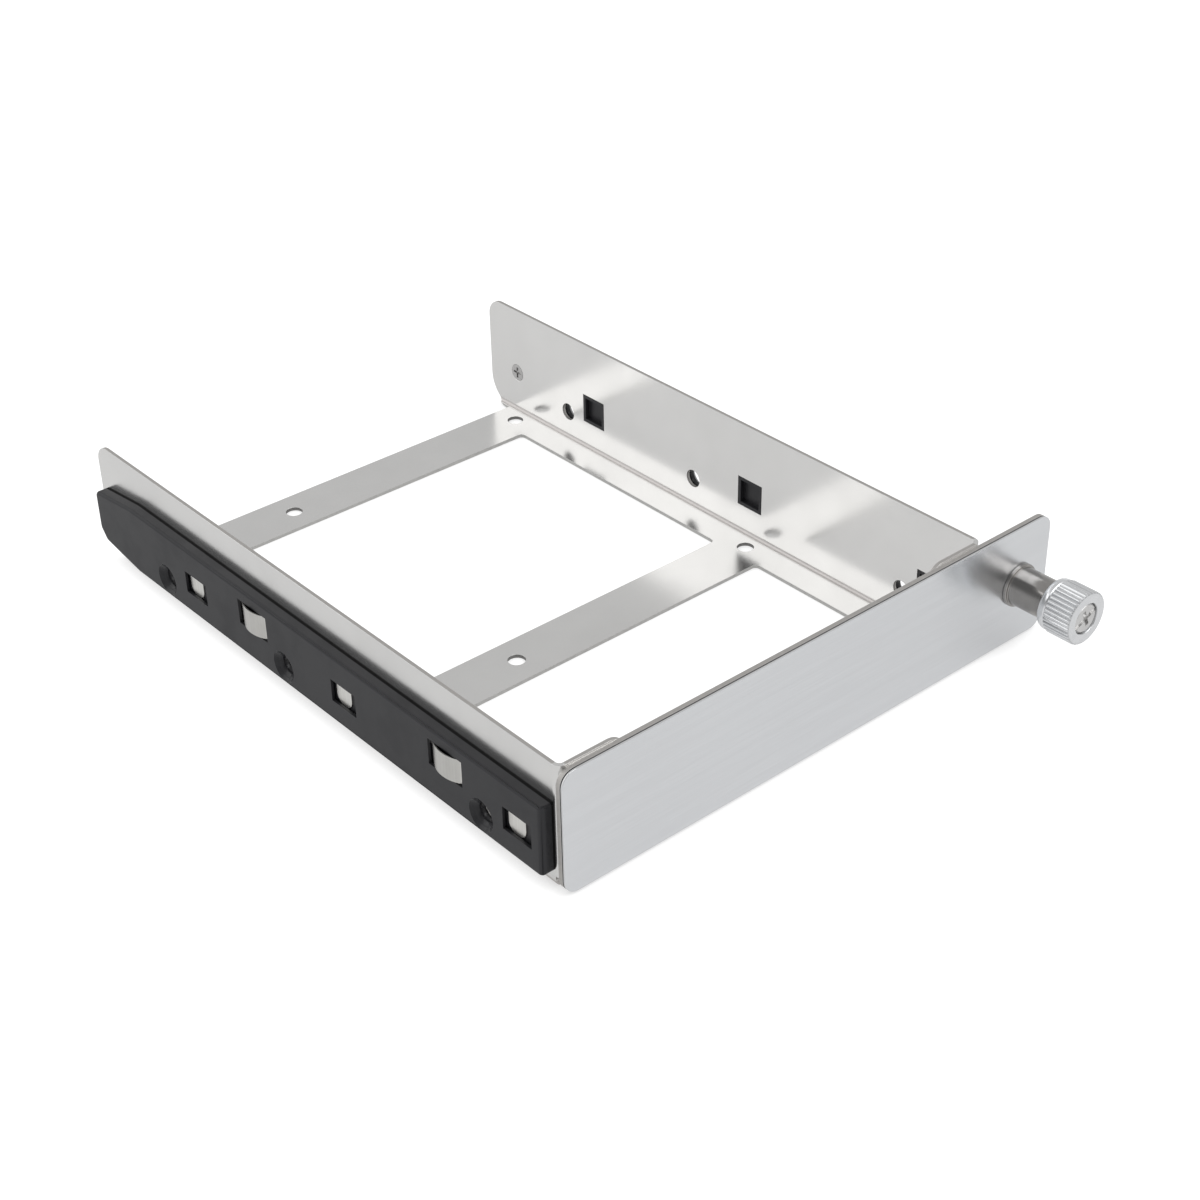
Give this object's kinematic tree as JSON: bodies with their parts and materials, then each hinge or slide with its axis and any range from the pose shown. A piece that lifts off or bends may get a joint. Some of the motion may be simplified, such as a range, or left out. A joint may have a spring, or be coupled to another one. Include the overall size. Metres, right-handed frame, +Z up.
{
  "type": "hot swap drive caddy",
  "caption": "Folded steel drive tray with plastic guide rails, spring strips, a brushed front panel and a captive thumbscrew.",
  "frame": {"origin": "underside of the tray's middle strap, on the centre line between the walls and in line with the front pair of 2.5 inch drive holes", "axes": "+X towards the thumbscrew side, +Y back into the bay, away from the front panel, +Z up"},
  "size_m": [0.1252, 0.1658, 0.0262],
  "materials": {
    "stainless_steel": "satin rolled stainless sheet",
    "brushed_fascia": "fine straight brushing along the panel",
    "bond_black": "matt black bonding sheet",
    "rivet_steel": "plain rivet steel",
    "rail_plastic": "satin moulded charcoal plastic",
    "spring_steel": "satin spring steel",
    "screw_steel": "plated screw steel",
    "polished_nickel": "polished nickel plate",
    "knob_metal": "bright zinc plate over a straight knurl"
  },
  "bodies": {
    "caddy": {"tray": "stainless_steel", "front_plate": "stainless_steel", "bonding_sheet": "bond_black", "fascia": "brushed_fascia", "panel_rivets": "rivet_steel", "left_rail_base": "rail_plastic", "right_rail_base": "rail_plastic", "left_rail_cover": "rail_plastic", "right_rail_cover": "rail_plastic", "left_spring_strip": "spring_steel", "right_spring_strip": "spring_steel", "left_rail_screw": "screw_steel", "right_rail_screw": "screw_steel", "ferrule": "polished_nickel", "return_spring": "spring_steel"},
    "plunger": {"retaining_ring": "spring_steel"},
    "thumbscrew": {"thumbscrew_knob": "knob_metal", "captive_screw": "screw_steel"}
  },
  "joints": [
    {"name": "screw_push", "type": "slide", "parent": "caddy", "child": "plunger", "axis": [0, 1, 0], "range_m": [0, 0.005], "stiffness_N_per_m": 400, "springref_m": -0.004, "deforming": ["return_spring"]},
    {"name": "screw_turn", "type": "hinge", "parent": "plunger", "child": "thumbscrew", "pos_m": [0.0619, -0.05935, 0.0131], "axis": [0, 1, 0], "continuous": true}
  ]
}
